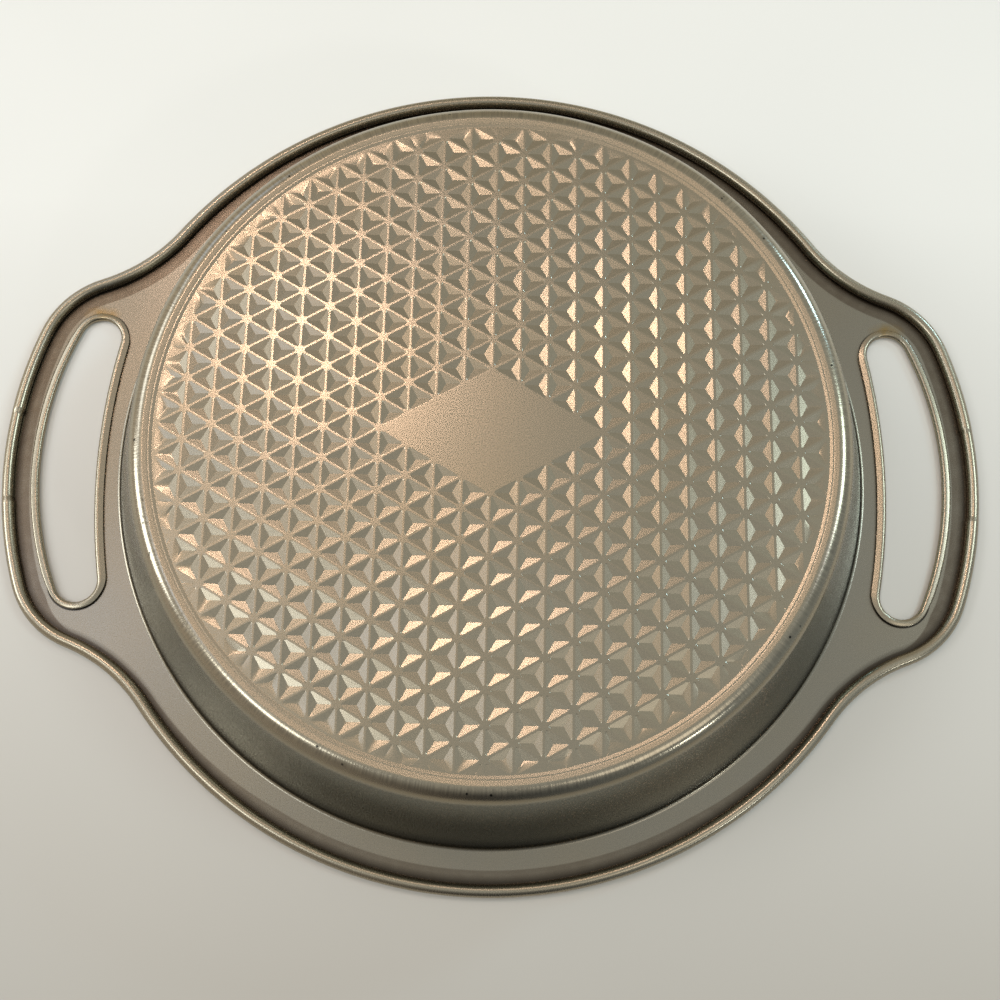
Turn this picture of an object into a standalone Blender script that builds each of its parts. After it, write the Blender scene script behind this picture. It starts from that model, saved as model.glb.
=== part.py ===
"""Round cake pan, upside down as it lies on a counter: one pressed steel sheet with a looped grip
on each side, its rim curled round two steel wires. Metres, +Z up. The origin is on the pan's axis in
the plane that its rim rests on, and +X points along one grip."""

import math

import bmesh
import bpy
from mathutils import Vector
from mathutils.geometry import delaunay_2d_cdt

# Sheet
SHEET = 0.0008

# Well: the base, its corner and the tapered wall, as outside sizes
PAN_HEIGHT = 0.0389
BASE_FLAT_RADIUS = 0.0990
CORNER_RADIUS = 0.0050
WALL_TAPER = math.radians(18.6)
FOOT_FILLET = 0.0015

# Flange and grips: the outline of the rim's outer edge
FLANGE_WIDTH = 0.01359
GRIP_PROJECTION = 0.0228
GRIP_ARC_RADIUS = 0.1250
GRIP_HALF_ANGLE = math.radians(19.5)
GRIP_CORNER_RADIUS = 0.0295
GRIP_BLEND_RADIUS = 0.0520

# Curled rim and the wires inside it
BEAD_DIAMETER = 0.0038
CURL_END_GAP = 0.0003
WIRE_CLEARANCE = 0.0004
WIRE_END_SPACING = 0.0290

# Slot through each grip, and the hem turned back round its edge
SLOT_SETBACK = 0.0077
GRIP_BAR_WIDTH = 0.0105
SLOT_INNER_ARC_RADIUS = 0.2000
SLOT_OUTER_ARC_RADIUS = 0.1020
SLOT_END_RADIUS = 0.0067
HEM_BEND_RADIUS = 0.0012
HEM_RETURN = 0.0005
HEM_DROP = math.radians(50.0)

# Embossed base: three-sided dimples between ridges, and a bare rhombus in the middle
PATTERN_MARGIN = 0.0030
CELL_PITCH = 0.0092
CELL_DEPTH = 0.00045
BARE_COLUMNS = 4
BARE_ROWS = 2
PATTERN_EDGE_MERGE = 0.0003

# Facets
WALL_SEGMENTS = 64
CORNER_STEPS = 3
FILLET_STEPS = 2
CURL_STEPS = 7
HEM_BEND_STEPS = 3
OUTLINE_SAG = 0.00015
SLOT_SAG = 0.00008
WELD = 0.000001
CELLS_KEPT = 4  # the triangulation keeps each closed figure as one face

# Worked out from the sizes above
BEAD_RADIUS = BEAD_DIAMETER / 2
CURL_BORE_RADIUS = BEAD_RADIUS - SHEET
WIRE_RADIUS = CURL_BORE_RADIUS - WIRE_CLEARANCE
CORNER_CENTRE = (BASE_FLAT_RADIUS, PAN_HEIGHT - CORNER_RADIUS)
CORNER_END = (
    CORNER_CENTRE[0] + CORNER_RADIUS * math.cos(WALL_TAPER),
    CORNER_CENTRE[1] + CORNER_RADIUS * math.sin(WALL_TAPER),
)
WALL_FOOT_RADIUS = CORNER_END[0] + (CORNER_END[1] - SHEET) * math.tan(WALL_TAPER)
FILLET_RUN = FOOT_FILLET * math.tan((math.pi / 2 - WALL_TAPER) / 2)
FILLET_CENTRE = (WALL_FOOT_RADIUS + FILLET_RUN, SHEET + FOOT_FILLET)
RIM_RADIUS = WALL_FOOT_RADIUS + FLANGE_WIDTH
GRIP_REACH = RIM_RADIUS + GRIP_PROJECTION
SLOT_INNER_EDGE = WALL_FOOT_RADIUS + SLOT_SETBACK
SLOT_OUTER_EDGE = GRIP_REACH - GRIP_BAR_WIDTH
PATTERN_RADIUS = BASE_FLAT_RADIUS - PATTERN_MARGIN
COLUMN_STEP = CELL_PITCH * math.cos(math.pi / 6)
CELL_INRADIUS = CELL_PITCH * math.tan(math.pi / 6) / 2
BARE_HALF_LENGTH = BARE_COLUMNS * COLUMN_STEP
BARE_HALF_WIDTH = BARE_ROWS * CELL_PITCH


def clear_scene():
    for thing in list(bpy.data.objects):
        bpy.data.objects.remove(thing, do_unlink=True)


def unit(angle):
    return Vector((math.cos(angle), math.sin(angle)))


def angle_of(vector):
    return math.atan2(vector.y, vector.x)


def arc(centre, radius, start, end, sag, outward=1):
    """Places and outward normals along an arc, without its last one, facets no deeper than sag."""
    step = 2 * math.acos(1 - sag / radius)
    count = max(1, math.ceil(abs(end - start) / step))
    angles = [start + (end - start) * k / count for k in range(count)]
    return [(centre + unit(a) * radius, unit(a) * outward) for a in angles]


def circle_crossing(centre_a, radius_a, centre_b, radius_b):
    """The point where two circles cross, on the left of the line from the first centre to the second."""
    line = centre_b - centre_a
    along = (radius_a**2 - radius_b**2 + line.length_squared) / (2 * line.length)
    aside = math.sqrt(radius_a**2 - along**2)
    ahead = line.normalized()
    return centre_a + ahead * along + Vector((-ahead.y, ahead.x)) * aside


def mirrored(outline, x_sign, y_sign):
    """An outline's copy, mirrored, and reversed where that keeps it counterclockwise."""
    signs = Vector((x_sign, y_sign))
    copy = [(point * signs, normal * signs) for point, normal in outline]
    return copy if x_sign * y_sign > 0 else copy[::-1]


def rim_outline():
    """The rim's outer edge, counterclockwise: grip, corner, inward blend and pan circle, four times over."""
    grip_centre = Vector((GRIP_REACH - GRIP_ARC_RADIUS, 0))
    corner_centre = grip_centre + unit(GRIP_HALF_ANGLE) * (GRIP_ARC_RADIUS - GRIP_CORNER_RADIUS)
    pan_centre = Vector((0, 0))
    blend_centre = circle_crossing(
        pan_centre,
        RIM_RADIUS + GRIP_BLEND_RADIUS,
        corner_centre,
        GRIP_CORNER_RADIUS + GRIP_BLEND_RADIUS,
    )
    corner_end = angle_of(blend_centre - corner_centre)
    pan_start = angle_of(blend_centre)
    quarter = [
        *arc(grip_centre, GRIP_ARC_RADIUS, 0, GRIP_HALF_ANGLE, OUTLINE_SAG),
        *arc(corner_centre, GRIP_CORNER_RADIUS, GRIP_HALF_ANGLE, corner_end, OUTLINE_SAG),
        *arc(
            blend_centre,
            GRIP_BLEND_RADIUS,
            corner_end + math.pi,
            pan_start + math.pi,
            OUTLINE_SAG,
            -1,
        ),
        *arc(pan_centre, RIM_RADIUS, pan_start, math.pi / 2, OUTLINE_SAG),
        (Vector((0, RIM_RADIUS)), Vector((0, 1))),
    ]
    right_back = quarter
    left_back = mirrored(quarter, -1, 1)
    left_front = mirrored(quarter, -1, -1)
    right_front = mirrored(quarter, 1, -1)
    return right_back[:-1] + left_back[:-1] + left_front[:-1] + right_front[:-1]


def slot_outline(side):
    """The edge of one grip's slot, counterclockwise, its normals away from the opening."""
    inner_centre = Vector((SLOT_INNER_EDGE - SLOT_INNER_ARC_RADIUS, 0))
    outer_centre = Vector((SLOT_OUTER_EDGE - SLOT_OUTER_ARC_RADIUS, 0))
    end_centre = circle_crossing(
        inner_centre,
        SLOT_INNER_ARC_RADIUS + SLOT_END_RADIUS,
        outer_centre,
        SLOT_OUTER_ARC_RADIUS - SLOT_END_RADIUS,
    )
    outer_end = angle_of(end_centre - outer_centre)
    inner_end = angle_of(end_centre - inner_centre)
    half = [
        *arc(outer_centre, SLOT_OUTER_ARC_RADIUS, 0, outer_end, SLOT_SAG),
        *arc(end_centre, SLOT_END_RADIUS, outer_end, inner_end + math.pi, SLOT_SAG),
        *arc(inner_centre, SLOT_INNER_ARC_RADIUS, inner_end, 0, SLOT_SAG, -1),
        (Vector((SLOT_INNER_EDGE, 0)), Vector((-1, 0))),
    ]
    outline = half[:-1] + mirrored(half, 1, -1)[:-1]
    return outline if side > 0 else mirrored(outline, -1, 1)


def lattice_node(column, row):
    return Vector((column * COLUMN_STEP, (row + (column % 2) / 2) * CELL_PITCH))


def in_bare_rhombus(point, slack):
    return abs(point.x) / BARE_HALF_LENGTH + abs(point.y) / BARE_HALF_WIDTH < 1 + slack


def lattice_ridges():
    """The ridges between dimples, as pairs of ends, cut off where they leave the patterned disc."""
    columns = math.ceil(PATTERN_RADIUS / COLUMN_STEP) + 1
    rows = math.ceil(PATTERN_RADIUS / CELL_PITCH) + 1
    rim = []
    ridges = []
    for column in range(-columns, columns + 1):
        for row in range(-rows, rows + 1):
            node = lattice_node(column, row)
            side_row = row + column % 2
            for other in (
                lattice_node(column, row + 1),
                lattice_node(column + 1, side_row),
                lattice_node(column + 1, side_row - 1),
            ):
                if in_bare_rhombus((node + other) / 2, -WELD / BARE_HALF_LENGTH):
                    continue
                ends = sorted((node, other), key=lambda point: point.length)
                if ends[0].length > PATTERN_RADIUS - PATTERN_EDGE_MERGE:
                    continue
                if ends[1].length > PATTERN_RADIUS + PATTERN_EDGE_MERGE:
                    ends[1] = disc_edge_point(*ends)
                if ends[1].length > PATTERN_RADIUS - PATTERN_EDGE_MERGE:
                    rim.append(ends[1])
                ridges.append(ends)
    rim.sort(key=angle_of)
    ridges.extend(zip(rim, rim[1:] + rim[:1], strict=True))
    return ridges


def disc_edge_point(inside, outside):
    """Where the line from a point inside the patterned disc to one outside crosses its edge."""
    ahead = (outside - inside).normalized()
    along = inside.dot(ahead)
    return inside + ahead * (math.sqrt(along**2 + PATTERN_RADIUS**2 - inside.length_squared) - along)


def closed_ring(points):
    return list(zip(points, points[1:] + points[:1], strict=True))


def encloses(ring, point):
    """Whether a closed ring of points goes round a point."""
    crossings = 0
    for start, end in closed_ring(ring):
        if (start.y > point.y) != (end.y > point.y):
            share = (point.y - start.y) / (end.y - start.y)
            crossings += start.x + (end.x - start.x) * share > point.x
    return crossings % 2 == 1


def add_flat_faces(mesh, segments, height, holes=()):
    """Fill a plane figure that line segments bound and divide, and leave out what lies in a hole."""
    points = [point for segment in segments for point in segment]
    edges = [(k, k + 1) for k in range(0, len(points), 2)]
    places, _, faces, *_ = delaunay_2d_cdt(points, edges, [], CELLS_KEPT, WELD)
    verts = [mesh.verts.new((place.x, place.y, height)) for place in places]
    made = []
    for face in faces:
        middle = sum((places[k] for k in face), Vector((0, 0))) / len(face)
        if not any(encloses(hole, middle) for hole in holes):
            made.append(mesh.faces.new([verts[k] for k in face]))
    return made


def pan_circle(radius):
    return [unit(2 * math.pi * k / WALL_SEGMENTS) * radius for k in range(WALL_SEGMENTS)]


def add_base(mesh):
    """The base's food side: dimples that bulge into the well, the bare rhombus and the plain border."""
    segments = lattice_ridges() + closed_ring(pan_circle(BASE_FLAT_RADIUS))
    faces = add_flat_faces(mesh, segments, PAN_HEIGHT - SHEET)
    border_start = PATTERN_RADIUS + PATTERN_EDGE_MERGE * 2
    cells = []
    for face in faces:
        corners = [vert.co.xy for vert in face.verts]
        in_pattern = all(corner.length < border_start for corner in corners)
        bare = all(in_bare_rhombus(corner, WELD / BARE_HALF_LENGTH) for corner in corners)
        if in_pattern and not bare:
            cells.append(face)
    for face in cells:
        reach = distance_to_edges(face)
        if reach < PATTERN_EDGE_MERGE:
            continue
        poked = bmesh.ops.poke(mesh, faces=[face])
        poked["verts"][0].co.z -= CELL_DEPTH * reach / CELL_INRADIUS
        for spoke in poked["verts"][0].link_edges:
            spoke.smooth = False


def distance_to_edges(face):
    """How far a face's centre is from its nearest side."""
    centre = face.calc_center_median().xy
    reaches = []
    for edge in face.edges:
        start, end = (vert.co.xy for vert in edge.verts)
        reaches.append(abs((end - start).normalized().cross(centre - start)))
        edge.smooth = False
    return min(reaches)


def add_wall(mesh):
    """The corner, the tapered wall and the fillet at its foot, turned about the pan's axis."""
    profile = []
    for k in range(CORNER_STEPS + 1):
        turn = math.pi / 2 + (WALL_TAPER - math.pi / 2) * k / CORNER_STEPS
        profile.append(Vector(CORNER_CENTRE) + unit(turn) * (CORNER_RADIUS - SHEET))
    for k in range(FILLET_STEPS + 1):
        turn = math.pi + WALL_TAPER + (math.pi / 2 - WALL_TAPER) * k / FILLET_STEPS
        profile.append(Vector(FILLET_CENTRE) + unit(turn) * (FOOT_FILLET + SHEET))
    verts = [mesh.verts.new((point.x, 0, point.y)) for point in profile]
    edges = [mesh.edges.new(pair) for pair in zip(verts, verts[1:], strict=False)]
    bmesh.ops.spin(
        mesh,
        geom=verts + edges,
        cent=(0, 0, 0),
        axis=(0, 0, 1),
        angle=2 * math.pi,
        steps=WALL_SEGMENTS,
        use_merge=True,
    )


def offset_points(outline, distance):
    return [point + normal * distance for point, normal in outline]


def add_flange(mesh, rim, slots):
    """The flat sheet between the wall's foot, the rolled rim and the two hems."""
    holes = [pan_circle(FILLET_CENTRE[0])]
    holes += [offset_points(slot, HEM_BEND_RADIUS) for slot in slots]
    rings = [offset_points(rim, -BEAD_RADIUS), *holes]
    segments = [segment for ring in rings for segment in closed_ring(ring)]
    add_flat_faces(mesh, segments, 0, holes)


def add_swept(mesh, outline, section):
    """Carry a section of offsets and heights round a closed outline."""
    rows = []
    for offset, height in section:
        places = offset_points(outline, offset)
        rows.append([mesh.verts.new((place.x, place.y, height)) for place in places])
    for row, above in zip(rows, rows[1:], strict=False):
        for (a, b), (c, d) in zip(closed_ring(row), closed_ring(above), strict=True):
            mesh.faces.new((a, b, d, c))


def curl_section():
    """The rim's roll, from the flange out, over the top and back in, to just above the flange."""
    end = math.pi + math.asin((CURL_BORE_RADIUS - CURL_END_GAP) / BEAD_RADIUS)
    start = -math.pi / 2
    section = []
    for k in range(CURL_STEPS + 1):
        turn = unit(start + (end - start) * k / CURL_STEPS) * BEAD_RADIUS
        section.append((turn.x - BEAD_RADIUS, turn.y + BEAD_RADIUS))
    return section


def hem_section():
    """The slot's hem: up through half a turn, straight back for a little, then down."""
    section = []
    for k in range(HEM_BEND_STEPS + 1):
        turn = unit(-math.pi / 2 - math.pi * k / HEM_BEND_STEPS) * HEM_BEND_RADIUS
        section.append((turn.x + HEM_BEND_RADIUS, turn.y + HEM_BEND_RADIUS))
    for turn in (unit(math.pi / 2), unit(math.pi / 2 - HEM_DROP)):
        drop = turn * HEM_BEND_RADIUS
        section.append((drop.x + HEM_BEND_RADIUS + HEM_RETURN, drop.y + HEM_BEND_RADIUS))
    return section


def make_material(name, color, roughness, metallic):
    material = bpy.data.materials.new(name)
    material.use_nodes = True
    shader = material.node_tree.nodes["Principled BSDF"]
    shader.inputs["Base Color"].default_value = (*color, 1)
    shader.inputs["Roughness"].default_value = roughness
    shader.inputs["Metallic"].default_value = metallic
    return material


def place(name, data, material, parent):
    piece = bpy.data.objects.new(name, data)
    bpy.context.scene.collection.objects.link(piece)
    piece.data.materials.append(material)
    piece.parent = parent
    return piece


def make_pan_body(rim, parent):
    """The food side as an open skin, thickened outward to the sheet."""
    slots = [slot_outline(side) for side in (1, -1)]
    mesh = bmesh.new()
    add_base(mesh)
    add_wall(mesh)
    add_flange(mesh, rim, slots)
    add_swept(mesh, rim, curl_section())
    for slot in slots:
        add_swept(mesh, slot, hem_section())
    bmesh.ops.remove_doubles(mesh, verts=mesh.verts, dist=WELD * 10)
    bmesh.ops.recalc_face_normals(mesh, faces=mesh.faces)
    mesh.faces.ensure_lookup_table()
    middle = min(mesh.faces, key=lambda face: face.calc_center_median().xy.length)
    if middle.normal.z > 0:
        bmesh.ops.reverse_faces(mesh, faces=mesh.faces)
    for face in mesh.faces:
        face.smooth = True
    data = bpy.data.meshes.new("pan_body")
    mesh.to_mesh(data)
    mesh.free()
    coat = make_material("champagne_nonstick", (0.42, 0.37, 0.31), 0.38, 0.85)
    piece = place("pan_body", data, coat, parent)
    thicken = piece.modifiers.new("sheet", "SOLIDIFY")
    thicken.thickness = SHEET
    thicken.offset = -1
    thicken.use_even_offset = True
    thicken.use_quality_normals = True
    return piece


def make_wire(name, rim, half, parent, material):
    """One wire along the curl's bore, through the half of the rim on one side of the grips' middles."""
    end_height = WIRE_END_SPACING / 2
    bore_line = offset_points(rim, -BEAD_RADIUS)
    arc_radius = GRIP_ARC_RADIUS - BEAD_RADIUS
    end_reach = GRIP_REACH - GRIP_ARC_RADIUS + math.sqrt(arc_radius**2 - end_height**2)
    points = [Vector((end_reach, end_height * half))]
    inner = [point for point in bore_line if point.y * half > end_height + BEAD_DIAMETER / 2]
    inner.sort(key=lambda point: angle_of(Vector((point.x, point.y * half))))
    points += inner
    points.append(Vector((-end_reach, end_height * half)))
    curve = bpy.data.curves.new(name, "CURVE")
    curve.dimensions = "3D"
    curve.bevel_depth = WIRE_RADIUS
    curve.bevel_resolution = 2
    curve.use_fill_caps = True
    spline = curve.splines.new("POLY")
    spline.points.add(len(points) - 1)
    for knot, point in zip(spline.points, points, strict=True):
        knot.co = (point.x, point.y, BEAD_RADIUS, 1)
    return place(name, curve, material, parent)


def main():
    clear_scene()
    pan = bpy.data.objects.new("cake_pan", None)
    bpy.context.scene.collection.objects.link(pan)
    rim = rim_outline()
    make_pan_body(rim, pan)
    steel = make_material("galvanised_wire", (0.55, 0.56, 0.57), 0.35, 1.0)
    make_wire("rim_wire_back", rim, 1, pan, steel)
    make_wire("rim_wire_front", rim, -1, pan, steel)


main()
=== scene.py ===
"""Looks of a round cake pan that lies upside down: its sheet, two hidden wires, floor and lamps."""

import math

import bmesh
import bpy
import numpy as np
from mathutils import Matrix, Vector
from mathutils.geometry import delaunay_2d_cdt


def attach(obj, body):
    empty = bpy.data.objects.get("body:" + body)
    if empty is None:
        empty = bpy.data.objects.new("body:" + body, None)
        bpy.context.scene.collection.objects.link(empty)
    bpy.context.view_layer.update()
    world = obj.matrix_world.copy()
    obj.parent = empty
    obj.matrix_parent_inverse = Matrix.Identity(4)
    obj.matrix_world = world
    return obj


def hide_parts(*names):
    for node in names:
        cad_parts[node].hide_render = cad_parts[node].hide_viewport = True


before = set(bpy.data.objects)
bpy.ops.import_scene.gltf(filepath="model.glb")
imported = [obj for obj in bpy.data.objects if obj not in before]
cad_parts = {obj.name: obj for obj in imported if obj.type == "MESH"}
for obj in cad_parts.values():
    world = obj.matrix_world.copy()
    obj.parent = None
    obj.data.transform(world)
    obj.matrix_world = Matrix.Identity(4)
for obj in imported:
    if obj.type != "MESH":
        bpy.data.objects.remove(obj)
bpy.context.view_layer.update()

# Sizes of the pan in millimetres, in the frame of the solids
SHEET = 0.8
BASE_TOP = 38.9
CREST_RADIUS = 99.0
CORNER_RADIUS = 5.0
WALL_TAPER = math.radians(18.6)
FOOT_RADIUS = 1.5
FILLET_CENTRE = (116.4896, 2.3)
RIM_RADIUS = 129.005
BEAD_RADIUS = 1.9
WIRELESS_BEAD_RADIUS = 1.74
CURL_END_TURN = math.radians(204.9)
WIRE_END = 14.5
WIRE_END_DENT = 1.1
GRIP_REACH = 151.805
GRIP_BAR_FROM = GRIP_REACH - 8
GRIP_ARC_RADIUS = 125.0
GRIP_HALF_ANGLE = math.radians(19.5)
GRIP_CORNER_RADIUS = 29.5
GRIP_BLEND_RADIUS = 52.0
SLOT_INNER_EDGE = 123.115
SLOT_OUTER_EDGE = 140.6
SLOT_INNER_ARC_RADIUS = 200.0
SLOT_OUTER_ARC_RADIUS = 102.0
SLOT_END_RADIUS = 6.4

# The slots' hems: round edge, tilt and share of each step of the return, and its length by y
HEM_RADIUS = 1.05
HEM_TILT = 13.0
HEM_BAR_TILTS = (2.0, 5.0, 14.0, 30.0, 48.0)
HEM_STEP_SHARES = (0.12, 0.44, 0.14, 0.14, 0.16)
HEM_SIDE_RETURN = 1.6
HEM_END_RETURN = 1.05
HEM_END_START = 37.0
HEM_END_FULL = 43.0

# The embossed lattice of the base: ridges, facets as (distance, slope), and the size of its disc
PITCH = 9.2
COLUMN = PITCH * math.sqrt(3) / 2
INRADIUS = PITCH / (2 * math.sqrt(3))
PATTERN_RADIUS = 96.0
PATTERN_LEVEL = 38.42
RIDGE_EDGE = 0.25
RIDGE_SHOULDER = 0.38
FACET_START = 0.30
FACET_SLOPES = ((1.7, 9.4), (INRADIUS, 8.3))
CREASE_WIDTH = 0.2
SHALLOW_FROM = 92.4
SHALLOW_TO = 95.4

# The flat spots where ridges meet, by their reach along a crease and along a ridge
SPOT_EDGE = (1.22, 1.7)
SPOT_SHOULDER = (1.4, 1.9)

# The bare rhombus in the middle
BARE_HALF_WIDTH = 4 * COLUMN
BARE_HALF_HEIGHT = 2 * PITCH

# Step and groove between the lattice and the corner, as (radius, height), on both sides of the sheet
BORDER = (
    (96.12, 38.42),
    (96.22, 38.435),
    (97.0, 38.61),
    (97.1, 38.622),
    (97.28, 38.605),
    (97.4, 38.635),
    (97.6, 38.68),
    (98.0, 38.745),
    (98.6, 38.845),
    (98.8, 38.88),
)
INNER_BORDER = ((96.4, 37.66), (97.2, 37.82), (98.2, 37.98))

# Fineness of the mesh, in sides, steps, millimetres and, for its sharp edges, angles
TURNED_SIDES = 300
CORNER_STEPS = 12
FOOT_STEPS = 7
WALL_SHARES = (0.03, 0.5, 0.97)
BEAD_STEPS = 18
HEM_STEPS = (14, 7)
RIM_STEP = 2.4
DENT_STEP = 0.3
SLOT_STEP = 1.5
WELD = 0.003
LATTICE_PARTS = 1e4
FLANGE_TOLERANCE = 1e-6
PATTERN_CREASE = math.radians(10)
SHEET_CREASE = math.radians(50)
MM = 0.001

# The flange's upper face, as the height's middle, half width and edge
FLANGE_FACE = (SHEET, 0.12, 0.05)

# The depth of the brown film, darkened with painted shade, in from the rim's edge: at the grips and
# the back, at the front, at the necks
FILM_DEPTH = 8.0
FILM_ROUND_DEPTH = 7.5
FILM_NECK_DEPTH = 4.8

# Where the film and its painted shade widen from their necks, over y and over x, and where they fade,
# over y, with shares
FILM_NECK = (-55.0, -44.0)
FILM_NECK_END = (108.0, 60.0)
FILM_FADE = (-105.0, -50.0, 0.8, 1.0)
FILM_SOFTNESS = 0.15
FILM_PATCHES = (0.3, 0.6, 0.8, 1.0)
# The film's brown tone, darkened as painted shade of the bead and hem
FILM_AND_SHADE_TONE = (0.160, 0.130, 0.096, 1)

# Painted shade of the bead along the film's edge, over a depth in from the rim's edge
BEAD_SHADE_DEPTHS = (4.2, 6.2)
BEAD_SHADE_SHARE = 0.8
BEAD_PAINTED_SHADE = (0.035, 0.027, 0.02, 1)

# Painted shade: the dark line at the foot of the hems' round ends, as its middle, half width and edge
HEM_LINE = (0.0, 0.65, 0.25)
HEM_LINE_SHARE = 0.9
HEM_FOOT_PAINTED_SHADE = (0.02, 0.019, 0.017, 1)

# The coat's own tone, and painted shade: cooler, darker tints of the flange and of the wall between
# its lower and upper edge
MOTTLE_TONES = ((0.372, 0.320, 0.232, 1), (0.360, 0.318, 0.240, 1))
SAND_TONES = ((0.95, 0.96, 0.97, 1), (1.05, 1.04, 1.03, 1))
FLANGE_PAINTED_SHADE = (0.79, 0.81, 0.86, 1)
WALL_PAINTED_SHADE = (0.62, 0.70, 0.77, 1)
WALL_OUTER_RADIUS = 117.5
WALL_LOWER_EDGE = (1.0, 2.5)
WALL_UPPER_EDGE = (34.5, 36.5)

# Painted shade: the dark foot of the wall, as the heights over which it starts and ends
WALL_FOOT_START = (0.9, 1.3)
WALL_FOOT_END = (5.0, 8.5)
WALL_FOOT_SHARE = 0.7
WALL_FOOT_PAINTED_SHADE = (0.05, 0.052, 0.046, 1)

# The brown stain at the back of each grip, in metres
STAIN_PLACE = (0.1262, 0.0478, 0.0008)
STAIN_RADIUS = 0.0052
STAIN_STRETCH = (0.8, 1.5, 1)
STAIN_PATCHES = (0.35, 0.6, 0.3, 0.9)
STAIN_TONE = (0.30, 0.205, 0.085, 1)

# The corner's worn ring in millimetres, its ticks, laid out by heading, and its chips
WORN_RADIUS = 100.5
WORN_BAND = (0.0, 1.6, 0.7)
WORN_FROM = (36.0, 37.0)
WORN_ROUGHNESS = -0.07
TICK_SCALE = 170
TICK_TONES = ((0.84, 0.84, 0.85, 1), (1.06, 1.06, 1.06, 1))
TICK_RELIEF = 7.0
CHIP_SIZE = (0.13, 0.18)
CHIP_LUCK = (0.52, 0.56)
CHIP_TONE = (0.03, 0.028, 0.022, 1)

# Scales of the patterns, per metre, and the sand's roughness and its relief in metres
GRAIN_SCALE = 2600
PATCH_SCALE = 300
MOTTLE_SCALE = 26
CHIP_SCALE = 420.0
LUCK_SCALE = 90
STREAK_SCALE = 900
CLOUD_SCALE = 120
FLOOR_SCALE = 6
SAND_ROUGHNESS = (0.25, 0.28)
SAND_RELIEF = 0.000003

# The wires' zinc
WIRE_TONES = ((0.50, 0.51, 0.52, 1), (0.58, 0.585, 0.59, 1))
WIRE_ROUGHNESS = (0.3, 0.5)

# The floor in metres, and its tone, with painted shade that darkens it towards the front, over -Y in
# millimetres
FLOOR_RADIUS = 3.0
FLOOR_SIDES = 96
FLOOR_SHADE_FADE = (-90.0, 190.0)
FLOOR_LIGHT = (0.90, 0.87, 0.80, 1)
FLOOR_SHADE_TONE = (0.47, 0.43, 0.37, 1)
FLOOR_MOTTLE = ((0.98, 0.98, 0.98, 1), (1.02, 1.02, 1.02, 1))
FLOOR_ROUGHNESS = 0.6

# The sky's even light, and its lobes as axis, sign, power and colour
SKY_EVEN = (0.03, 0.03, 0.033)
SKY_LOBES = (
    ("Y", 1, 1.0, (0.420, 0.390, 0.310)),
    ("X", -1, 1.0, (0.645, 0.585, 0.505)),
    ("X", 1, 1.0, (0.365, 0.412, 0.432)),
    ("Z", 1, 4.0, (0.464, 0.486, 0.479)),
)

# Lamps as name, azimuth and elevation in degrees, distance and size in metres, power and colour
LAMPS = (
    ("key", 115, 65.7, 1.9, 0.15, 2.3, (1.0, 0.736, 0.652)),
    ("key_side", 166, 66.7, 1.9, 0.25, 0.55, (0.55, 0.68, 1.0)),
    ("key_glow", 135, 69, 1.9, 0.8, 0.7, (1.0, 0.66, 0.3)),
    ("left_front", -150, 62, 1.9, 0.4, 3.1, (0.92, 0.97, 1.0)),
    ("left_back", 149, 43, 1.9, 0.5, 2.5, (0.83, 0.90, 1.0)),
    ("left_low", 178, 35, 1.5, 0.5, 5.0, (0.86, 0.93, 1.0)),
    ("back_low", 128, 35, 1.9, 0.5, 0.85, (0.4, 0.6, 1.0)),
    ("right_front", -45, 62, 1.9, 0.6, 1.7, (1.0, 0.93, 0.84)),
    ("right_edge", -45, 32, 1.9, 0.12, 1.5, (0.95, 1.0, 1.0)),
    ("right", 18.5, 45, 1.9, 0.4, 4.6, (0.74, 0.96, 1.0)),
    ("right_high", 12.7, 52.5, 1.9, 0.3, 0.55, (0.8, 0.8, 1.0)),
    ("right_low", 41.6, 25, 1.9, 0.2, 4.5, (0.45, 0.75, 1.0)),
)

# The camera's place in metres, its axes, and its focal length in pixels of a picture so many wide
CAMERA_PLACE = (0.002475, -0.109217, 0.383529)
CAMERA_RIGHT = (0.99976691, 0.02061052, 0.00642922)
CAMERA_UP = (-0.0215622, 0.96828952, 0.24889854)
CAMERA_BACK = (-0.00109542, -0.24897915, 0.96850823)
CAMERA_FOCAL = 1272.08
CAMERA_PICTURE = 1000
CAMERA_SENSOR = 36.0
CAMERA_NEAR = 0.01
CAMERA_FAR = 20.0


def unit(angle):
    return Vector((math.cos(angle), math.sin(angle)))


def angle_of(vector):
    return math.atan2(vector.y, vector.x)


def arc(centre, radius, start, end, step, outward=1):
    """Places and outward normals along an arc, without its last one."""
    count = max(2, math.ceil(abs(end - start) * radius / step))
    angles = [start + (end - start) * k / count for k in range(count)]
    return [(centre + unit(a) * radius, unit(a) * outward) for a in angles]


def circle_crossing(centre_a, radius_a, centre_b, radius_b):
    """The point where two circles cross, left of the line from the first centre to the second."""
    line = centre_b - centre_a
    along = (radius_a**2 - radius_b**2 + line.length_squared) / (2 * line.length)
    aside = math.sqrt(radius_a**2 - along**2)
    ahead = line.normalized()
    return centre_a + ahead * along + Vector((-ahead.y, ahead.x)) * aside


def mirrored(outline, x_sign, y_sign):
    """An outline's copy, mirrored, and reversed where that keeps it counterclockwise."""
    signs = Vector((x_sign, y_sign))
    copy = [(point * signs, normal * signs) for point, normal in outline]
    return copy if x_sign * y_sign > 0 else copy[::-1]


def rim_centres():
    """Centres of the arcs in a quarter of the rim: the grip's bar, its corner and its blend."""
    grip_centre = Vector((GRIP_REACH - GRIP_ARC_RADIUS, 0))
    corner_centre = grip_centre + unit(GRIP_HALF_ANGLE) * (GRIP_ARC_RADIUS - GRIP_CORNER_RADIUS)
    blend_centre = circle_crossing(
        Vector((0, 0)),
        RIM_RADIUS + GRIP_BLEND_RADIUS,
        corner_centre,
        GRIP_CORNER_RADIUS + GRIP_BLEND_RADIUS,
    )
    return grip_centre, corner_centre, blend_centre


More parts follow.
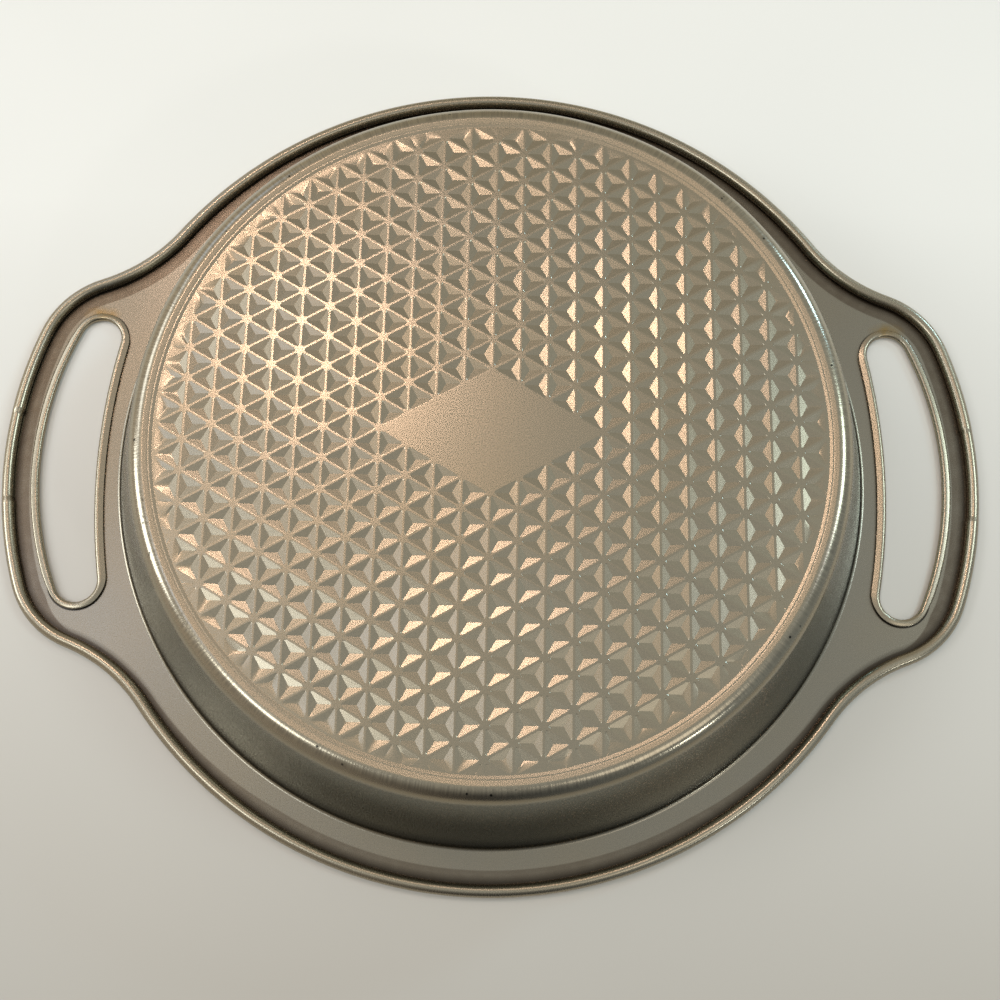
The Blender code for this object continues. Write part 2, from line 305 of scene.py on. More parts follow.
def rim_outline():
    """The rim's outer edge, counterclockwise: grip, corner, blend and pan circle, four times over."""
    grip_centre, corner_centre, blend_centre = rim_centres()
    corner_end = angle_of(blend_centre - corner_centre)
    pan_start = angle_of(blend_centre)
    blend_start, blend_end = corner_end + math.pi, pan_start + math.pi
    bare = math.asin((WIRE_END - WIRE_END_DENT) / GRIP_ARC_RADIUS)
    wired = math.asin((WIRE_END + WIRE_END_DENT) / GRIP_ARC_RADIUS)
    quarter = [
        *arc(grip_centre, GRIP_ARC_RADIUS, 0, bare, RIM_STEP),
        *arc(grip_centre, GRIP_ARC_RADIUS, bare, wired, DENT_STEP),
        *arc(grip_centre, GRIP_ARC_RADIUS, wired, GRIP_HALF_ANGLE, RIM_STEP),
        *arc(corner_centre, GRIP_CORNER_RADIUS, GRIP_HALF_ANGLE, corner_end, RIM_STEP),
        *arc(blend_centre, GRIP_BLEND_RADIUS, blend_start, blend_end, RIM_STEP, -1),
        *arc(Vector((0, 0)), RIM_RADIUS, pan_start, math.pi / 2, RIM_STEP),
        (Vector((0, RIM_RADIUS)), Vector((0, 1))),
    ]
    turns = (quarter, mirrored(quarter, -1, 1), mirrored(quarter, -1, -1), mirrored(quarter, 1, -1))
    return [place for turn in turns for place in turn[:-1]]


def slot_centres():
    """Centres of the arcs in half a slot: its inner side, its outer side and its round end."""
    inner_centre = Vector((SLOT_INNER_EDGE - SLOT_INNER_ARC_RADIUS, 0))
    outer_centre = Vector((SLOT_OUTER_EDGE - SLOT_OUTER_ARC_RADIUS, 0))
    end_centre = circle_crossing(
        inner_centre,
        SLOT_INNER_ARC_RADIUS + SLOT_END_RADIUS,
        outer_centre,
        SLOT_OUTER_ARC_RADIUS - SLOT_END_RADIUS,
    )
    return inner_centre, outer_centre, end_centre


def slot_outline(side):
    """The edge of one grip's slot, counterclockwise, its normals away from the opening."""
    inner_centre, outer_centre, end_centre = slot_centres()
    outer_end = angle_of(end_centre - outer_centre)
    inner_end = angle_of(end_centre - inner_centre)
    half = [
        *arc(outer_centre, SLOT_OUTER_ARC_RADIUS, 0, outer_end, SLOT_STEP),
        *arc(end_centre, SLOT_END_RADIUS, outer_end, inner_end + math.pi, SLOT_STEP / 2),
        *arc(inner_centre, SLOT_INNER_ARC_RADIUS, inner_end, 0, SLOT_STEP, -1),
        (Vector((SLOT_INNER_EDGE, 0)), Vector((-1, 0))),
    ]
    outline = half[:-1] + mirrored(half, 1, -1)[:-1]
    return outline if side > 0 else mirrored(outline, -1, 1)


class Sheet:
    """Points and faces of the pan's surface, gathered piece by piece."""

    def __init__(self):
        self.points = []
        self.faces = []

    def add(self, points, faces):
        """More points, and faces that count them from 0."""
        base = len(self.points)
        self.points.extend(tuple(map(float, p)) for p in points)
        self.faces.extend(tuple(base + int(k) for k in face) for face in faces)

    def add_strip(self, rings):
        """Faces between closed rings of equally many points."""
        count = len(rings[0])
        points = [p for ring in rings for p in ring]
        faces = []
        for row in range(len(rings) - 1):
            here, there = row * count, (row + 1) * count
            for k in range(count):
                after = (k + 1) % count
                faces.append((here + k, here + after, there + after, there + k))
        self.add(points, faces)

    def add_zip(self, inner, outer):
        """Triangles between two closed rings of unequal numbers of points, both sorted by angle."""
        a = sorted(inner, key=lambda p: math.atan2(p[1], p[0]))
        b = sorted(outer, key=lambda p: math.atan2(p[1], p[0]))
        angles = [[math.atan2(p[1], p[0]) for p in ring] for ring in (a, b)]
        for ring_angles in angles:
            ring_angles.append(ring_angles[0] + 2 * math.pi)
        i = j = 0
        faces = []
        while i < len(a) or j < len(b):
            on_a = j == len(b) or (i < len(a) and angles[0][i + 1] < angles[1][j + 1])
            here_a, here_b = i % len(a), len(a) + j % len(b)
            if on_a:
                i += 1
                faces.append((here_a, i % len(a), here_b))
            else:
                j += 1
                faces.append((here_a, len(a) + j % len(b), here_b))
        self.add(a + b, faces)


def facet_depth(distance):
    """How deep a dimple's facet lies, by the distance from the nearest ridge line."""
    depth, start = 0.0, FACET_START
    for end, slope in FACET_SLOPES:
        if distance > start:
            depth += (min(distance, end) - start) * math.tan(math.radians(slope))
        start = end
    return depth


def dimple_rows(fine):
    """Rows of (place along a cell's side, distance from it, depth), from the side to the middle."""
    half = PITCH / 2

    def row(crease, distance, offset, flat=False):
        crease_place = (crease * math.cos(math.pi / 6) - half, crease / 2)
        offset_place = (offset - half, distance)
        left = [crease_place, offset_place]
        places = [*left, (0, distance), *[(-u, d) for u, d in left[::-1]]]
        return [(u, d, 0.0 if flat else facet_depth(d)) for u, d in places]

    def at_spot(distance, spot):
        return math.sqrt(spot**2 - distance**2)

    def on_facet(distance):
        return row(2 * distance, distance, 2 * distance * math.cos(math.pi / 6) + CREASE_WIDTH)

    edge, shoulder = SPOT_EDGE, SPOT_SHOULDER
    rows = [[(u, 0.0, 0.0) for u in (-half, edge[1] - half, 0, half - edge[1], half)]]
    if fine:
        rows.append(row(edge[0], RIDGE_EDGE, at_spot(RIDGE_EDGE, edge[1]), flat=True))
        rows.append(row(shoulder[0], RIDGE_SHOULDER, at_spot(RIDGE_SHOULDER, shoulder[1])))
        rows.extend(on_facet(end) for end, _ in FACET_SLOPES[:-1])
    else:
        rows.append(row(shoulder[0], FACET_START, at_spot(FACET_START, shoulder[1]), flat=True))
    return rows


def cell_template(fine, bare):
    """One lattice cell about its middle, a side towards -Y: points (x, y, depth) and triangles."""
    points, faces = [], []
    apex = (0.0, 0.0, 0.0 if bare else facet_depth(INRADIUS))
    rows = dimple_rows(fine)
    if bare:
        rows = rows[:1]
    for sector in range(3):
        turn = Matrix.Rotation(sector * 2 * math.pi / 3, 2)
        base = len(points)
        for row in rows:
            for u, d, depth in row:
                place = turn @ Vector((u, d - INRADIUS))
                points.append((place.x, place.y, depth))
        points.append(apex)
        wide = len(rows[0])
        for r in range(len(rows) - 1):
            for k in range(wide - 1):
                a, b = base + r * wide + k, base + (r + 1) * wide + k
                if k < wide // 2:
                    faces += [(a, a + 1, b + 1), (a, b + 1, b)]
                else:
                    faces += [(a, a + 1, b), (a + 1, b + 1, b)]
        last = base + (len(rows) - 1) * wide
        faces += [(last + k, last + k + 1, len(points) - 1) for k in range(wide - 1)]
    return np.array(points), np.array(faces)


def lattice_cells():
    """Middles of the cells that reach into the patterned disc, as (x, y, turn, bare)."""
    cells = []
    reach = PATTERN_RADIUS + 2 * INRADIUS
    columns = math.ceil(reach / COLUMN)
    rows = math.ceil(reach / PITCH) + columns
    for column in range(-columns - 1, columns + 1):
        for row in range(-rows, rows + 1):
            x, y = column * COLUMN, (column / 2 + row) * PITCH
            for dx, dy, turn in ((INRADIUS, PITCH / 2, -1), (2 * INRADIUS, 0, 1)):
                cx, cy = x + dx, y + dy
                if math.hypot(cx, cy) < reach:
                    bare = abs(cx) / BARE_HALF_WIDTH + abs(cy) / BARE_HALF_HEIGHT < 1
                    cells.append((cx, cy, turn, bare))
    return cells


def lattice_skin(fine):
    """The lattice inside its disc: points (x, y, depth), triangles, and the points on its edge."""
    all_points, all_faces, base = [], [], 0
    cells = lattice_cells()
    for bare in (False, True):
        points, faces = cell_template(fine, bare)
        for turn in (-1, 1):
            centres = np.array([c[:2] for c in cells if c[2] == turn and c[3] == bare])
            turned_points = points.copy()
            turned_points[:, 0] = -turn * points[:, 1]
            turned_points[:, 1] = turn * points[:, 0]
            placed = np.repeat(turned_points[None], len(centres), axis=0)
            placed[:, :, :2] += centres[:, None]
            shift = base + len(points) * np.arange(len(centres))
            all_points.append(placed.reshape(-1, 3))
            all_faces.append((faces[None] + shift[:, None, None]).reshape(-1, 3))
            base += len(points) * len(centres)
    points, faces = np.vstack(all_points), np.vstack(all_faces)
    keys = np.round(points * LATTICE_PARTS).astype(np.int64)
    _, first, inverse = np.unique(keys, axis=0, return_index=True, return_inverse=True)
    points, faces = points[first], inverse.reshape(-1)[faces]
    radii = np.hypot(points[:, 0], points[:, 1])
    share = np.clip((SHALLOW_TO - radii) / (SHALLOW_TO - SHALLOW_FROM), 0, 1)
    points[:, 2] *= share * share * (3 - 2 * share)
    return cut_at_circle(points, faces)


def cut_at_circle(points, faces):
    """Triangles inside the patterned disc, cut off at its edge, and the points of the cut."""
    inside = np.hypot(points[:, 0], points[:, 1]) < PATTERN_RADIUS
    count = inside[faces].sum(axis=1)
    kept = [tuple(face) for face in faces[count == 3]]
    points = [tuple(p) for p in points]
    cuts = {}

    def cut(a, b):
        """The point where the edge from a, inside, to b, outside, meets the circle."""
        if (a, b) not in cuts:
            pa, pb = np.array(points[a]), np.array(points[b])
            way = pb - pa
            square = way[:2] @ way[:2]
            ahead = pa[:2] @ way[:2]
            room = PATTERN_RADIUS**2 - pa[:2] @ pa[:2]
            share = (-ahead + math.sqrt(ahead**2 + square * room)) / square
            cuts[a, b] = len(points)
            points.append(tuple(pa + way * share))
        return cuts[a, b]

    for face in faces[(count == 1) | (count == 2)]:
        a, b, c = (int(k) for k in face)
        while not inside[a] or (inside[c] and not inside[b]):
            a, b, c = b, c, a
        if inside[b]:
            kept += [(a, b, cut(b, c)), (a, cut(b, c), cut(a, c))]
        else:
            kept.append((a, cut(a, b), cut(a, c)))
    edge = sorted(cuts.values())
    return points, kept, edge


def turned(profile):
    """Rings of points, one for each place (radius, height) of a profile."""
    around = [unit(2 * math.pi * k / TURNED_SIDES) for k in range(TURNED_SIDES)]
    return [[(u.x * r, u.y * r, z) for u in around] for r, z in profile]


def round_part(centre, radius, start, end, steps):
    """Places (radius, height) along an arc of a profile."""
    angles = [start + (end - start) * k / steps for k in range(steps + 1)]
    return [(centre[0] + radius * math.cos(a), centre[1] + radius * math.sin(a)) for a in angles]


def wall_profile(depth):
    """Corner, wall and foot fillet of one side of the sheet, the given depth below its outer side."""
    corner_centre = (CREST_RADIUS, BASE_TOP - CORNER_RADIUS)
    up = math.pi / 2
    corner = round_part(corner_centre, CORNER_RADIUS - depth, up, WALL_TAPER, CORNER_STEPS)
    foot_turn = (math.pi + WALL_TAPER, math.pi + up)
    foot = round_part(FILLET_CENTRE, FOOT_RADIUS + depth, *foot_turn, FOOT_STEPS)
    top, bottom = corner[-1], foot[0]
    middle = [
        (top[0] + (bottom[0] - top[0]) * share, top[1] + (bottom[1] - top[1]) * share)
        for share in WALL_SHARES
    ]
    return [*corner, *middle, *foot]


def eased(share):
    """A share from 0 to 1 that starts and ends gently."""
    share = min(1, max(0, share))
    return share * share * (3 - 2 * share)


def bead_section(radius):
    """Offsets and heights round the rim's roll: food side out and over, then the inner side back."""
    start = -math.pi / 2
    over = [start + (CURL_END_TURN - start) * k / BEAD_STEPS for k in range(BEAD_STEPS + 1)]
    outer = [(radius * math.cos(a) - radius, radius * math.sin(a) + radius) for a in over]
    bore = radius - SHEET
    inner = [(bore * math.cos(a) - radius, bore * math.sin(a) + radius) for a in over[::-2]]
    return [(-BEAD_RADIUS, 0.0), *outer, *inner, (-BEAD_RADIUS, SHEET)]


def hem_section(point, normal):
    """Offsets and heights round a slot's hem: food side up and over, then the inner side back."""
    towards_end = eased((abs(point.y) - HEM_END_START) / (HEM_END_FULL - HEM_END_START))
    reach = HEM_SIDE_RETURN + (HEM_END_RETURN - HEM_SIDE_RETURN) * towards_end
    towards_bar = (1 + normal.x * math.copysign(1, point.x)) / 2
    tilts = [math.radians(HEM_TILT + (tilt - HEM_TILT) * towards_bar) for tilt in HEM_BAR_TILTS]
    bend = math.pi / 2
    sides = []
    for radius, steps in zip((HEM_RADIUS, HEM_RADIUS - SHEET), HEM_STEPS, strict=True):
        side = round_part((HEM_RADIUS, HEM_RADIUS), radius, -bend, -3 * bend - tilts[0], steps)
        for tilt, share in zip(tilts, HEM_STEP_SHARES, strict=True):
            x, z = side[-1]
            length = reach * share
            side.append((x + length * math.cos(tilt), z - length * math.sin(tilt)))
        sides.append(side)
    return sides[0] + sides[1][::-1]


def swept(outline, sections):
    """Rings of points along an outline, one ring for each place of the section."""
    rings = []
    for k in range(len(sections[0])):
        ring = []
        for (point, normal), section in zip(outline, sections, strict=True):
            offset, height = section[k]
            place = point + normal * offset
            ring.append((place.x, place.y, height))
        rings.append(ring)
    return rings


def encloses(ring, places):
    """Which places (x, y) a closed ring of points goes round."""
    x, y = np.array(places).T
    odd = np.zeros(len(x), bool)
    for (ax, ay), (bx, by) in zip(ring, ring[1:] + ring[:1], strict=True):
        if ay == by:
            continue
        crosses = (ay > y) != (by > y)
        odd ^= crosses & (x < (bx - ax) * (y - ay) / (by - ay) + ax)
    return odd


def flange_faces(outer, holes):
    """Triangles between a closed outer ring and the holes in it."""
    points, edges = [], []
    for ring in (outer, *holes):
        base = len(points)
        points += [Vector(p[:2]) for p in ring]
        edges += [(base + k, base + (k + 1) % len(ring)) for k in range(len(ring))]
    flat, _, faces, *_ = delaunay_2d_cdt(points, edges, [], 0, FLANGE_TOLERANCE)
    places = np.array([tuple(p) for p in flat])
    middles = places[np.array(faces)].mean(axis=1)
    kept = encloses([p[:2] for p in outer], middles)
    for ring in holes:
        kept &= ~encloses([p[:2] for p in ring], middles)
    return places, [face for face, keep in zip(faces, kept, strict=True) if keep]


def bead_radius_at(point):
    """The roll's radius at a place of the rim: a little less where no wire fills it."""
    past = (abs(point.y) - WIRE_END) / WIRE_END_DENT
    if abs(point.x) < GRIP_BAR_FROM or past > 1:
        return BEAD_RADIUS
    return BEAD_RADIUS + (WIRELESS_BEAD_RADIUS - BEAD_RADIUS) * eased((1 - past) / 2)


def make_sheet():
    """The pan's whole pressed sheet, gathered from its parts."""
    sheet = Sheet()
    outer_side = turned([*BORDER, *wall_profile(0)])
    food_side = turned([*INNER_BORDER, *wall_profile(SHEET)])
    for rings, fine, level in (
        (outer_side, True, PATTERN_LEVEL),
        (food_side, False, PATTERN_LEVEL - SHEET),
    ):
        points, faces, edge = lattice_skin(fine)
        placed = [(x, y, level - depth) for x, y, depth in points]
        sheet.add(placed, faces)
        sheet.add_zip([placed[k] for k in edge], rings[0])
        sheet.add_strip(rings)
    rim = rim_outline()
    rim_rings = swept(rim, [bead_section(bead_radius_at(point)) for point, _ in rim])
    sheet.add_strip(rim_rings)
    holes = [food_side[-1]]
    for side in (1, -1):
        slot = slot_outline(side)
        slot_rings = swept(slot, [hem_section(point, normal) for point, normal in slot])
        sheet.add_strip(slot_rings)
        holes.append(slot_rings[0])
    places, faces = flange_faces(rim_rings[0], holes)
    for height in (0.0, SHEET):
        sheet.add([(x, y, height) for x, y in places], faces)
    return sheet


def mesh_of(name, sheet):
    """A closed, welded and outward-facing mesh in metres."""
    data = bpy.data.meshes.new(name)
    data.from_pydata([tuple(c * MM for c in p) for p in sheet.points], [], sheet.faces)
    mesh = bmesh.new()
    mesh.from_mesh(data)
    bmesh.ops.delete(mesh, geom=[v for v in mesh.verts if not v.link_faces], context="VERTS")
    bmesh.ops.remove_doubles(mesh, verts=mesh.verts, dist=WELD * MM)
    bmesh.ops.recalc_face_normals(mesh, faces=mesh.faces)
    for face in mesh.faces:
        face.smooth = True
    for edge in mesh.edges:
        patterned = max(v.co.xy.length for v in edge.verts) < PATTERN_RADIUS * MM
        limit = PATTERN_CREASE if patterned else SHEET_CREASE
        edge.smooth = edge.calc_face_angle(0) < limit
    mesh.to_mesh(data)
    mesh.free()
    return data


class Nodes:
    """A small helper that builds a node material."""

    def __init__(self, name):
        self.material = bpy.data.materials.new(name)
        self.material.use_nodes = True
        self.tree = self.material.node_tree
        self.shader = self.tree.nodes["Principled BSDF"]

    def add(self, kind, inputs=(), **settings):
        """A new node with these settings, and with values or links on its inputs."""
        node = self.tree.nodes.new(kind)
        for key, value in settings.items():
            setattr(node, key, value)
        for key, value in dict(inputs).items():
            self.put(node, key, value)
        return node

    def put(self, node, key, value):
        """A value, or a link from another node's output, on one input."""
        socket = node.inputs[key]
        if isinstance(value, bpy.types.NodeSocket):
            self.tree.links.new(value, socket)
        else:
            socket.default_value = value

    def place(self):
        """The place on the object, in metres."""
        return self.add("ShaderNodeTexCoord").outputs["Object"]

    def noise(self, scale, detail=2.0, roughness=0.5, vector=None):
        inputs = {"Scale": scale, "Detail": detail, "Roughness": roughness}
        node = self.add("ShaderNodeTexNoise", inputs)
        self.put(node, "Vector", vector or self.place())
        return node.outputs["Fac"]

    def math(self, operation, a, b=0.0):
        return self.add("ShaderNodeMath", {0: a, 1: b}, operation=operation).outputs[0]

    def times(self, *values):
        """The product of two or more values."""
        product = values[0]
        for value in values[1:]:
            product = self.math("MULTIPLY", product, value)
        return product

    def vector(self, operation, *values):
        node = self.add("ShaderNodeVectorMath", dict(enumerate(values)), operation=operation)
        return node.outputs["Value" if operation == "LENGTH" else 0]

    def span(self, value, low, high, to_low=0.0, to_high=1.0):
        """A value's way from low to high, as a number from to_low to to_high and never past them."""
        inputs = {"Value": value, 1: low, 2: high, 3: to_low, 4: to_high}
        return self.add("ShaderNodeMapRange", inputs).outputs["Result"]

    def mix(self, share, a, b, blend="MIX"):
        """The first colour where the share is 0, and the second, or their blend, where it is 1."""
        node = self.add("ShaderNodeMix", {0: share}, data_type="RGBA", blend_type=blend)
        self.put(node, 6, a)
        self.put(node, 7, b)
        return node.outputs[2]

    def tinted(self, share, tone, tint):
        """A tone, multiplied by a tint where the share is 1."""
        return self.mix(share, tone, self.mix(1.0, tone, tint, "MULTIPLY"))

    def choose(self, share, a, b):
        """The first number where the share is 0, the second where it is 1."""
        return self.add("ShaderNodeMix", {0: share, 2: a, 3: b}).outputs[0]

    def within(self, value, middle, half_width, edge):
        """1 where a value is near its middle, falling to 0 at the edges on both sides."""
        away = self.math("ABSOLUTE", self.math("SUBTRACT", value, middle))
        return self.span(away, half_width - edge, half_width, 1.0, 0.0)

    def folded(self, folds):
        """The place on the pan, with its first axes folded onto their positive side."""
        parts = self.add("ShaderNodeSeparateXYZ", {0: self.place()}).outputs
        inputs = {k: self.math("ABSOLUTE", parts[k]) if k < folds else parts[k] for k in range(3)}
        return self.add("ShaderNodeCombineXYZ", inputs).outputs[0]

    def axis(self, place, index):
        """One of a place's coordinates, in millimetres."""
        output = self.add("ShaderNodeSeparateXYZ", {0: place}).outputs[index]
        return self.times(output, 1 / MM)

    def depth(self, place, centre, radius):
        """How far inside a circle about a centre (x, y) a place lies, in millimetres."""
        across = self.math("SUBTRACT", self.axis(place, 0), centre[0])
        along = self.math("SUBTRACT", self.axis(place, 1), centre[1])
        square = self.math("ADD", self.math("POWER", across, 2.0), self.math("POWER", along, 2.0))
        return self.math("SUBTRACT", radius, self.math("SQRT", square))

    def left_of(self, place, start, end):
        """1 where a place lies left of the line from one point (x, y) to another."""
        way = (end - start).normalized()
        across = self.times(self.math("SUBTRACT", self.axis(place, 0), start.x), way.y)
        along = self.times(self.math("SUBTRACT", self.axis(place, 1), start.y), way.x)
        return self.math("GREATER_THAN", along, across)

    def near(self, place, centre, radius, stretch):
        """1 at a centre on the pan, falling to 0 at the radius, measured in stretched metres."""
        away = self.vector("MULTIPLY", self.vector("SUBTRACT", place, centre), stretch)
        return self.span(self.vector("LENGTH", away), 0.0, radius, 1.0, 0.0)


def rim_depth(n, place):
    """How far in from the rim's outer edge a place lies, with its x and y folded to positive."""
    grip_centre, corner_centre, blend_centre = rim_centres()
    middle = Vector((0, 0))
    bar = n.depth(place, grip_centre, GRIP_ARC_RADIUS)
    corner = n.depth(place, corner_centre, GRIP_CORNER_RADIUS)
    blend = n.times(n.depth(place, blend_centre, GRIP_BLEND_RADIUS), -1.0)
    round_edge = n.depth(place, middle, RIM_RADIUS)
    depth = n.choose(n.left_of(place, corner_centre, blend_centre), corner, blend)
    depth = n.choose(n.left_of(place, middle, blend_centre), depth, round_edge)
    return n.choose(n.left_of(place, grip_centre, corner_centre), bar, depth)


def rim_film_and_shade(n):
    """Shares of the brown film and its painted shade along the rim, narrow in front of the grips, and
    of the painted shade of the bead at its edge.
    """
    place = n.folded(2)
    depth = rim_depth(n, place)
    flat = n.within(n.axis(place, 2), *FLANGE_FACE)
    along = n.axis(n.place(), 1)
    grip_reach = n.span(along, *FILM_NECK, FILM_NECK_DEPTH, FILM_DEPTH)
    round_reach = n.span(n.axis(place, 0), *FILM_NECK_END, FILM_NECK_DEPTH, FILM_ROUND_DEPTH)
    reach = n.math("MAXIMUM", grip_reach, round_reach)
    film = n.span(n.math("SUBTRACT", reach, depth), -FILM_SOFTNESS, FILM_SOFTNESS)
    # Painted shade of the bead along the film's edge
    dark = n.span(depth, *BEAD_SHADE_DEPTHS, 1.0, 0.0)
    return n.times(film, n.span(along, *FILM_FADE), flat), n.times(dark, flat)


def hem_shade(n):
    """1 on the painted shade: the dark line at the foot of the hems' round ends."""
    place = n.folded(2)
    centre = slot_centres()[-1]
    radius = SLOT_END_RADIUS + HEM_RADIUS + HEM_END_RETURN
    line = n.within(n.depth(place, centre, radius), *HEM_LINE)
    at_end = n.span(n.axis(place, 1), centre.y - 1, centre.y + 3)
    return n.times(line, at_end, n.within(n.axis(place, 2), *FLANGE_FACE))


def coat_tone(n, grain):
    """The coat's own tone: slow mottling under fine sand."""
    mottled = n.mix(n.span(n.noise(MOTTLE_SCALE, 3), 0.35, 0.65), *MOTTLE_TONES)
    sand = n.mix(n.span(grain, 0.3, 0.7), *SAND_TONES)
    return n.mix(1.0, mottled, sand, "MULTIPLY")


def shaded(n, tone, height):
    """The tone with painted shade: cooler, darker tints on the flange and the wall, and the wall's
    dark foot.
    """
    # Painted shade: the flange is tinted cooler and darker
    tone = n.tinted(n.within(height, *FLANGE_FACE), tone, FLANGE_PAINTED_SHADE)
    # Painted shade: the wall between its lower and upper edge is tinted cooler and darker
    on_wall = n.span(n.depth(n.place(), (0, 0), WALL_OUTER_RADIUS), 0.0, 0.3)
    above, below = n.span(height, *WALL_LOWER_EDGE), n.span(height, *WALL_UPPER_EDGE, 1.0, 0.0)
    tone = n.tinted(n.times(above, below, on_wall), tone, WALL_PAINTED_SHADE)
    # Painted shade: the dark foot of the wall, where it meets the flange
    above, below = n.span(height, *WALL_FOOT_START), n.span(height, *WALL_FOOT_END, 1.0, 0.0)
    return n.mix(n.times(above, below, on_wall, WALL_FOOT_SHARE), tone, WALL_FOOT_PAINTED_SHADE)


def soiled_and_shaded(n, tone):
    """The tone with the brown film and painted shade on the rim, painted shade at the hems' feet, and
    the stains by the grips.
    """
    patches = n.noise(PATCH_SCALE, 3, 0.6)
    film, dark = rim_film_and_shade(n)
    # Brown film, darkened as painted shade of the bead and hem
    tone = n.mix(n.times(film, n.span(patches, *FILM_PATCHES)), tone, FILM_AND_SHADE_TONE)
    # Painted shade of the bead along the inner edge of the rim
    tone = n.mix(n.times(dark, BEAD_SHADE_SHARE), tone, BEAD_PAINTED_SHADE)
    # Painted shade: the dark line at the foot of the hems' round ends
    tone = n.mix(n.times(hem_shade(n), HEM_LINE_SHARE), tone, HEM_FOOT_PAINTED_SHADE)
    stain = n.near(n.folded(1), STAIN_PLACE, STAIN_RADIUS, STAIN_STRETCH)
    stain = n.times(n.span(stain, 0.0, 0.7), n.span(patches, *STAIN_PATCHES))
    return n.mix(stain, tone, STAIN_TONE)


def worn_corner(n, height):
    """1 on the worn ring of the corner."""
    around = n.depth(n.place(), (0, 0), WORN_RADIUS)
    return n.times(n.within(around, *WORN_BAND), n.span(height, *WORN_FROM))


def worn(n, tone, corner, ticks):
    """The tone with the ticks and the small dark chips of the corner."""
    tone = n.tinted(corner, tone, n.mix(n.span(ticks, 0.4, 0.6), *TICK_TONES))
    dots = n.add("ShaderNodeTexVoronoi", {"Vector": n.place(), "Scale": CHIP_SCALE})
    chips = n.span(dots.outputs["Distance"], *CHIP_SIZE, 1.0, 0.0)
    lucky = n.span(n.noise(LUCK_SCALE, 1), *CHIP_LUCK)
    return n.mix(n.times(chips, lucky, n.span(corner, 0.5, 0.8)), tone, CHIP_TONE)


def coat_material():
    """Champagne nonstick coat: fine sand, mottled tone, painted shade on the flange, wall, rim and
    hems, brown film and stains, and a worn corner.
    """
    n = Nodes("champagne_nonstick")
    height = n.axis(n.place(), 2)
    grain = n.noise(GRAIN_SCALE, 2, 0.55)
    corner = worn_corner(n, height)
    heading = n.vector("NORMALIZE", n.vector("MULTIPLY", n.place(), (1, 1, 0)))
    ticks = n.noise(TICK_SCALE, 1, vector=heading)
    tone = shaded(n, coat_tone(n, grain), height)
    tone = worn(n, soiled_and_shaded(n, tone), corner, ticks)
    n.put(n.shader, "Base Color", tone)
    n.put(n.shader, "Metallic", 1.0)
    smoother = n.times(corner, WORN_ROUGHNESS)
    sandy = n.span(grain, 0.35, 0.65, *SAND_ROUGHNESS)
    n.put(n.shader, "Roughness", n.math("ADD", sandy, smoother))
    beads = n.times(n.math("SUBTRACT", ticks, 0.5), n.times(corner, TICK_RELIEF))
    bumps = {"Height": n.math("ADD", grain, beads), "Distance": SAND_RELIEF}
    n.put(n.shader, "Normal", n.add("ShaderNodeBump", bumps).outputs[0])
    return n.material


def wire_material():
    """Galvanised steel wire with drawn streaks."""
    n = Nodes("zinc_wire")
    clouds = n.span(n.noise(CLOUD_SCALE, 2), 0.35, 0.65)
    streaks = n.span(n.noise(STREAK_SCALE, 2), 0.3, 0.7, *WIRE_ROUGHNESS)
    n.put(n.shader, "Base Color", n.mix(clouds, *WIRE_TONES))
    n.put(n.shader, "Metallic", 1.0)
    n.put(n.shader, "Roughness", streaks)
    return n.material


def floor_material():
    """Plain pale ground, with painted shade that darkens it towards the front."""
    n = Nodes("pale_floor")
    front = n.times(n.axis(n.place(), 1), -1.0)
    # Painted shade: the floor darkens towards the front
    tone = n.mix(n.span(front, *FLOOR_SHADE_FADE), FLOOR_LIGHT, FLOOR_SHADE_TONE)
    mottled = n.mix(n.span(n.noise(FLOOR_SCALE, 2), 0.3, 0.7), *FLOOR_MOTTLE)
    n.put(n.shader, "Base Color", n.mix(1.0, tone, mottled, "MULTIPLY"))
    n.put(n.shader, "Roughness", FLOOR_ROUGHNESS)
    return n.material


def add_object(name, data):
    """A new object in the scene."""
    piece = bpy.data.objects.new(name, data)
    bpy.context.scene.collection.objects.link(piece)
    return piece


def make_pan():
    """The pressed sheet, in place of the CAD solid."""
    piece = add_object("pan_sheet", mesh_of("pan_sheet", make_sheet()))
    piece.data.materials.append(coat_material())
    weighted = piece.modifiers.new("even_shading", "WEIGHTED_NORMAL")
    weighted.keep_sharp = True
    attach(piece, "root")
    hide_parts("pan_body")


def dress_wires():
    """The wires keep their CAD shape and get their own material."""
    material = wire_material()
    for name in ("rim_wire_back", "rim_wire_front"):
        for slot in bpy.data.objects[name].material_slots:
            slot.material = material


def make_floor():
    mesh = bmesh.new()
    bmesh.ops.create_circle(mesh, cap_ends=True, segments=FLOOR_SIDES, radius=FLOOR_RADIUS)
    data = bpy.data.meshes.new("floor")
    mesh.to_mesh(data)
    mesh.free()
    data.materials.append(floor_material())
    floor = add_object("floor", data)


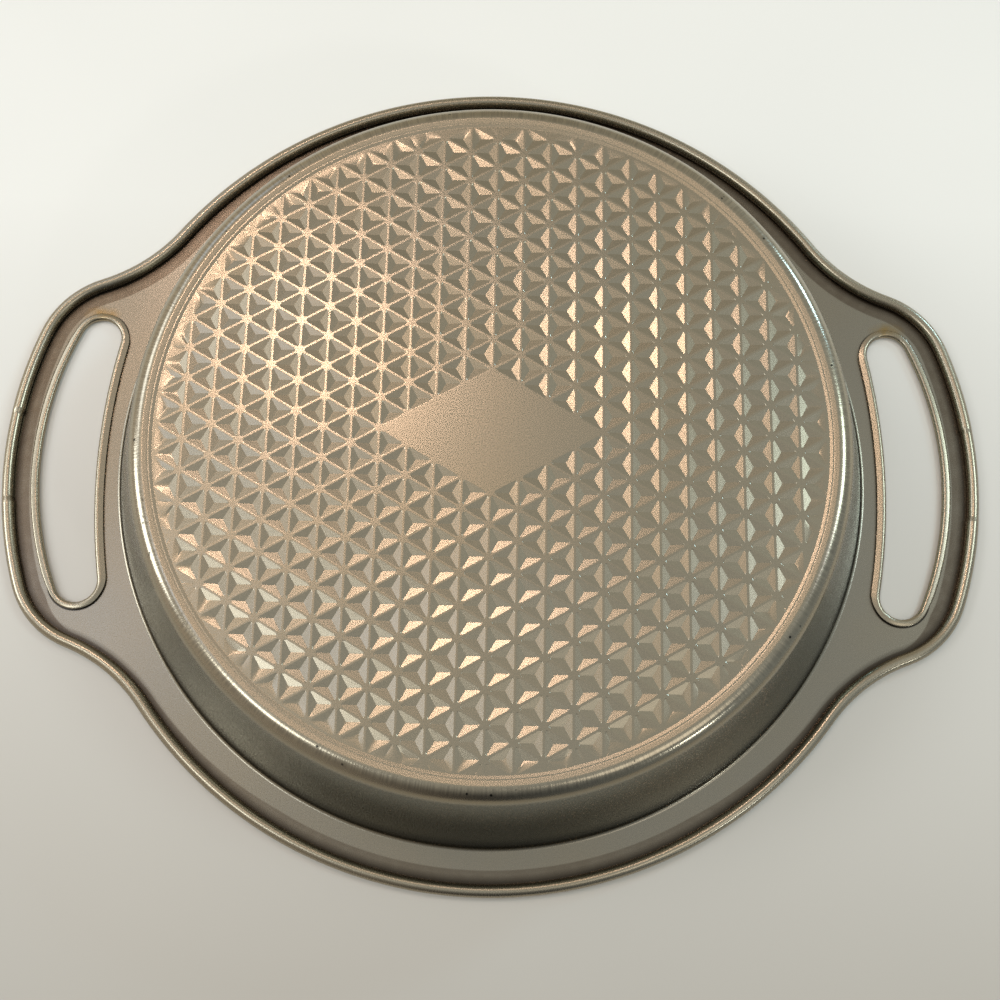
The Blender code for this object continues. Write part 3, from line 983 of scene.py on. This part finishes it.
def add_lamp(name, azimuth, elevation, distance, size, energy, color):
    """A soft square lamp that looks at the pan from a direction."""
    around, up = math.radians(azimuth), math.radians(elevation)
    data = bpy.data.lights.new(name, "AREA")
    data.shape = "SQUARE"
    data.size = size
    data.energy = energy
    data.color = color
    lamp = add_object(name, data)
    way = Vector((*unit(around) * math.cos(up), math.sin(up)))
    lamp.location = way * distance
    lamp.rotation_mode = "QUATERNION"
    lamp.rotation_quaternion = way.to_track_quat("Z", "Y")


def light_world():
    """A soft sky: brighter overhead, behind and to the left of the pan than in front of it."""
    world = bpy.data.worlds.new("studio")
    bpy.context.scene.world = world
    world.use_nodes = True
    tree = world.node_tree
    background = tree.nodes["Background"]
    place = tree.nodes.new("ShaderNodeTexCoord")
    axes = tree.nodes.new("ShaderNodeSeparateXYZ")
    tree.links.new(place.outputs["Generated"], axes.inputs[0])

    def maths(kind, operation, a, b):
        """The output of a node that works on two values or sockets."""
        node = tree.nodes.new(kind)
        node.operation = operation
        for socket, value in zip(node.inputs, (a, b)):
            if isinstance(value, bpy.types.NodeSocket):
                tree.links.new(value, socket)
            else:
                socket.default_value = value
        return node.outputs[0]

    light = SKY_EVEN
    for axis, sign, power, color in SKY_LOBES:
        facing = maths("ShaderNodeMath", "MULTIPLY", axes.outputs[axis], sign)
        facing = maths("ShaderNodeMath", "MAXIMUM", facing, 0.0)
        shaped = maths("ShaderNodeMath", "POWER", facing, power)
        lobe = maths("ShaderNodeVectorMath", "MULTIPLY", shaped, color)
        light = maths("ShaderNodeVectorMath", "ADD", lobe, light)
    tree.links.new(light, background.inputs["Color"])


def light_scene():
    light_world()
    for settings in LAMPS:
        add_lamp(*settings)


def add_camera():
    """The camera at the photograph's place and angle."""
    data = bpy.data.cameras.new("camera")
    data.sensor_width = CAMERA_SENSOR
    data.lens = CAMERA_FOCAL / CAMERA_PICTURE * CAMERA_SENSOR
    data.clip_start = CAMERA_NEAR
    data.clip_end = CAMERA_FAR
    camera = add_object("camera", data)
    turn = Matrix((CAMERA_RIGHT, CAMERA_UP, CAMERA_BACK)).transposed().to_4x4()
    camera.matrix_world = Matrix.Translation(CAMERA_PLACE) @ turn
    bpy.context.scene.camera = camera


make_pan()
dress_wires()
make_floor()
light_scene()
add_camera()
bpy.context.scene.view_settings.view_transform = "Standard"
bpy.context.view_layer.update()
